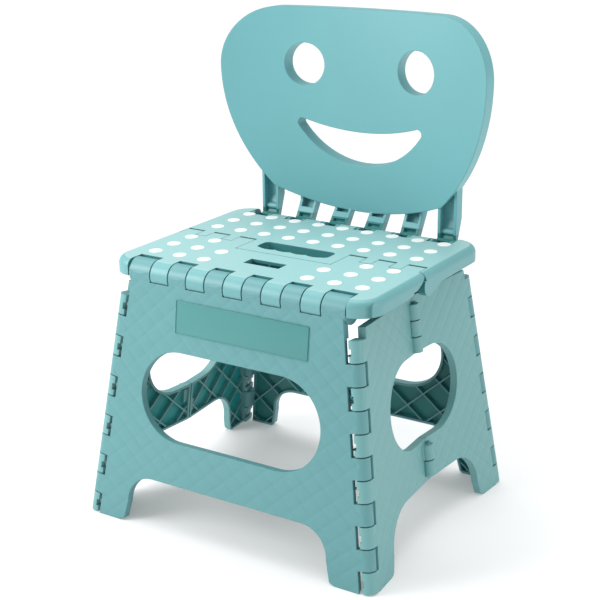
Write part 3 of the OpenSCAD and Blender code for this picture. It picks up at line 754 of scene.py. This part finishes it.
@dataclass
class LabelPlate:
    """Bare label on the front leg, with round corners and a soft edge."""

    film: bpy.types.Material
    stance: Stance = Stance()
    width: float = 152 * MM
    height: float = 33 * MM
    thickness: float = 0.3 * MM
    middle_x: float = 11 * MM
    middle_z: float = 225.5 * MM
    corner: float = 1 * MM
    corner_segments: int = 6
    edge_share: float = 0.4

    def build(self) -> None:
        """Model the plate lying flat, round its corners and tilt it on to the leg."""
        deselect()
        bpy.ops.mesh.primitive_cube_add(size=1)
        piece = bpy.context.object
        piece.scale = (self.width, self.height, self.thickness)
        bpy.ops.object.transform_apply(scale=True)
        for edge in piece.data.edges:
            ends = [piece.data.vertices[i].co for i in edge.vertices]
            edge.select = abs(ends[0].z - ends[1].z) > self.thickness / 2
        bpy.ops.object.mode_set(mode="EDIT")
        bpy.ops.mesh.select_mode(type="EDGE")
        bpy.ops.mesh.bevel(offset=self.corner, segments=self.corner_segments, affect="EDGES")
        bpy.ops.object.mode_set(mode="OBJECT")
        round_edges(piece, self.thickness * self.edge_share)
        lean = self.stance.lean
        foot = Vector((self.middle_x, -self.stance.foot_y, 0))
        up = Vector((0, math.sin(lean), math.cos(lean)))
        out = Vector((0, -math.cos(lean), math.sin(lean)))
        climb = self.middle_z / math.cos(lean)
        proud = self.stance.panel + self.thickness / 2
        piece.rotation_euler = (math.pi / 2 - lean, 0, 0)
        piece.location = foot + up * climb + out * proud
        settle(piece, "bare_label", self.film)
        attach(piece, "front_leg")
        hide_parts("label_plate")
        LOG.info("bare_label: %.1f mm wide", self.width / MM)


@dataclass
class Mouldings:
    """The CAD's own mouldings and rods, which keep their shapes and get their finishes."""

    nodes: dict[str, bpy.types.Object]
    seat_edge: float = 1.2 * MM
    back_edge: float = 1.4 * MM

    def finishes(self) -> dict[str, MouldedPlastic | DrawnSteel]:
        """Finish of every kind of node.

        Returns:
            The finishes, by the end of the node's name. The last one takes the rest.
        """
        return {
            # The leg and side panels get painted shade on their cell floors.
            "leg_panel": MouldedPlastic(
                "teal_leg_plastic", Tone.LEG, ReliefPlane.LEG, cells=Tone.LEG_CELL_SHADE
            ),
            # The seat gets a painted sheen on its top and painted shade on its slot walls.
            "seat_panel": MouldedPlastic(
                "teal_seat_plastic", Tone.SEAT, top=Tone.SEAT_TOP_SHEEN, edge_round=self.seat_edge
            ),
            "backrest": MouldedPlastic(
                "teal_back_plastic", Tone.BACK, edge_round=self.back_edge
            ),
            "_rod": DrawnSteel(),
            "": MouldedPlastic(
                "teal_side_plastic", Tone.SIDE, ReliefPlane.SIDE, cells=Tone.SIDE_CELL_SHADE
            ),
        }

    def dress(self) -> None:
        """Give every shown node its material."""
        made = {ending: finish.build() for ending, finish in self.finishes().items()}
        for name, node in sorted(self.nodes.items()):
            material = next(made[ending] for ending in made if name.endswith(ending))
            node.data.materials.clear()
            node.data.materials.append(material)
            LOG.info("%s: %s", name, material.name)


@dataclass(frozen=True)
class SoftBox:
    """Rectangular light near the stool, its size in metres and its power in watts."""

    name: str
    at: tuple[float, float, float]
    size: tuple[float, float]
    power: float

    def build(self) -> bpy.types.Light:
        """Make the light.

        Returns:
            The light's data.
        """
        data = bpy.data.lights.new(self.name, "AREA")
        data.shape = "RECTANGLE"
        data.size, data.size_y = self.size
        data.energy = self.power
        return data


@dataclass(frozen=True)
class WideLight:
    """Far light that reaches the whole floor evenly.

    Its spread is how wide it looks from the stool, and its strength is in watts to a square metre.
    """

    name: str
    at: tuple[float, float, float]
    spread: float
    strength: float

    def build(self) -> bpy.types.Light:
        """Make the light.

        Returns:
            The light's data.
        """
        data = bpy.data.lights.new(self.name, "SUN")
        data.angle = self.spread
        data.energy = self.strength
        return data


@dataclass
class Studio:
    """Floor, lights, backdrop and the camera at the photograph's angle."""

    floor: bpy.types.Material
    azimuth: float = math.radians(32.38)
    pitch: float = math.radians(18.46)
    roll: float = math.radians(-0.52)
    camera_at: tuple[float, float, float] = (694.7 * MM, -1091.5 * MM, 652.1 * MM)
    lens: float = 79.95
    sensor: float = 36.0
    nearest: float = 0.05
    farthest: float = 60.0
    reach: float = 14.0
    surround: float = 0.53
    lit_height: float = 0.2
    lights: tuple[WideLight | SoftBox, ...] = (
        WideLight("top_light", (-0.4, 0.3, 2.6), math.radians(60), 2.25),
        SoftBox("left_soft_box", (-0.75, -0.75, 0.75), (0.6, 0.6), 9.5),
        SoftBox("right_soft_box", (2.0, 0.1, 0.8), (0.9, 0.9), 8),
    )

    def place_camera(self) -> None:
        """Add the camera and make it the scene's."""
        data = bpy.data.cameras.new("photo_camera")
        data.lens = self.lens
        data.sensor_width = self.sensor
        data.sensor_fit = "HORIZONTAL"
        data.clip_start = self.nearest
        data.clip_end = self.farthest
        camera = bpy.data.objects.new("photo_camera", data)
        ahead = Vector(
            (
                -math.sin(self.azimuth) * math.cos(self.pitch),
                math.cos(self.azimuth) * math.cos(self.pitch),
                -math.sin(self.pitch),
            )
        )
        camera.location = self.camera_at
        camera.rotation_euler = ahead.to_track_quat("-Z", "Y").to_euler()
        camera.rotation_euler.rotate_axis("Z", self.roll)
        bpy.context.scene.collection.objects.link(camera)
        bpy.context.scene.camera = camera

    def lay_floor(self) -> None:
        """Add the floor plane, which isn't part of the object."""
        deselect()
        bpy.ops.mesh.primitive_plane_add(size=self.reach * 2)
        piece = bpy.context.object
        settle(piece, "studio_floor", self.floor)

    def hang_lights(self) -> None:
        """Put every light in its place, turned to the stool."""
        lit = Vector((0, 0, self.lit_height))
        for plan in self.lights:
            light = bpy.data.objects.new(plan.name, plan.build())
            light.location = plan.at
            aim = lit - Vector(plan.at)
            light.rotation_euler = aim.to_track_quat("-Z", "Y").to_euler()
            bpy.context.scene.collection.objects.link(light)

    def surround_white(self) -> None:
        """Set an even white surround and plain colours."""
        world = bpy.data.worlds.new("studio")
        world.use_nodes = True
        backdrop = world.node_tree.nodes["Background"].inputs
        backdrop["Color"].default_value = WHITE
        backdrop["Strength"].default_value = self.surround
        bpy.context.scene.world = world
        bpy.context.scene.view_settings.view_transform = "Standard"

    def build(self) -> None:
        """Set up the whole studio."""
        self.place_camera()
        self.lay_floor()
        self.hang_lights()
        self.surround_white()


def main() -> None:
    """Build the looks around the frame, in order."""
    logging.basicConfig(level=logging.INFO, format="%(message)s", stream=sys.stdout)
    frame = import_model()
    Mouldings(frame["nodes"]).dress()
    GripDots(DotRubber().build()).build()
    LabelPlate(BareFilm().build()).build()
    Studio(StudioFloor().build()).build()


if __name__ == "__main__":
    main()
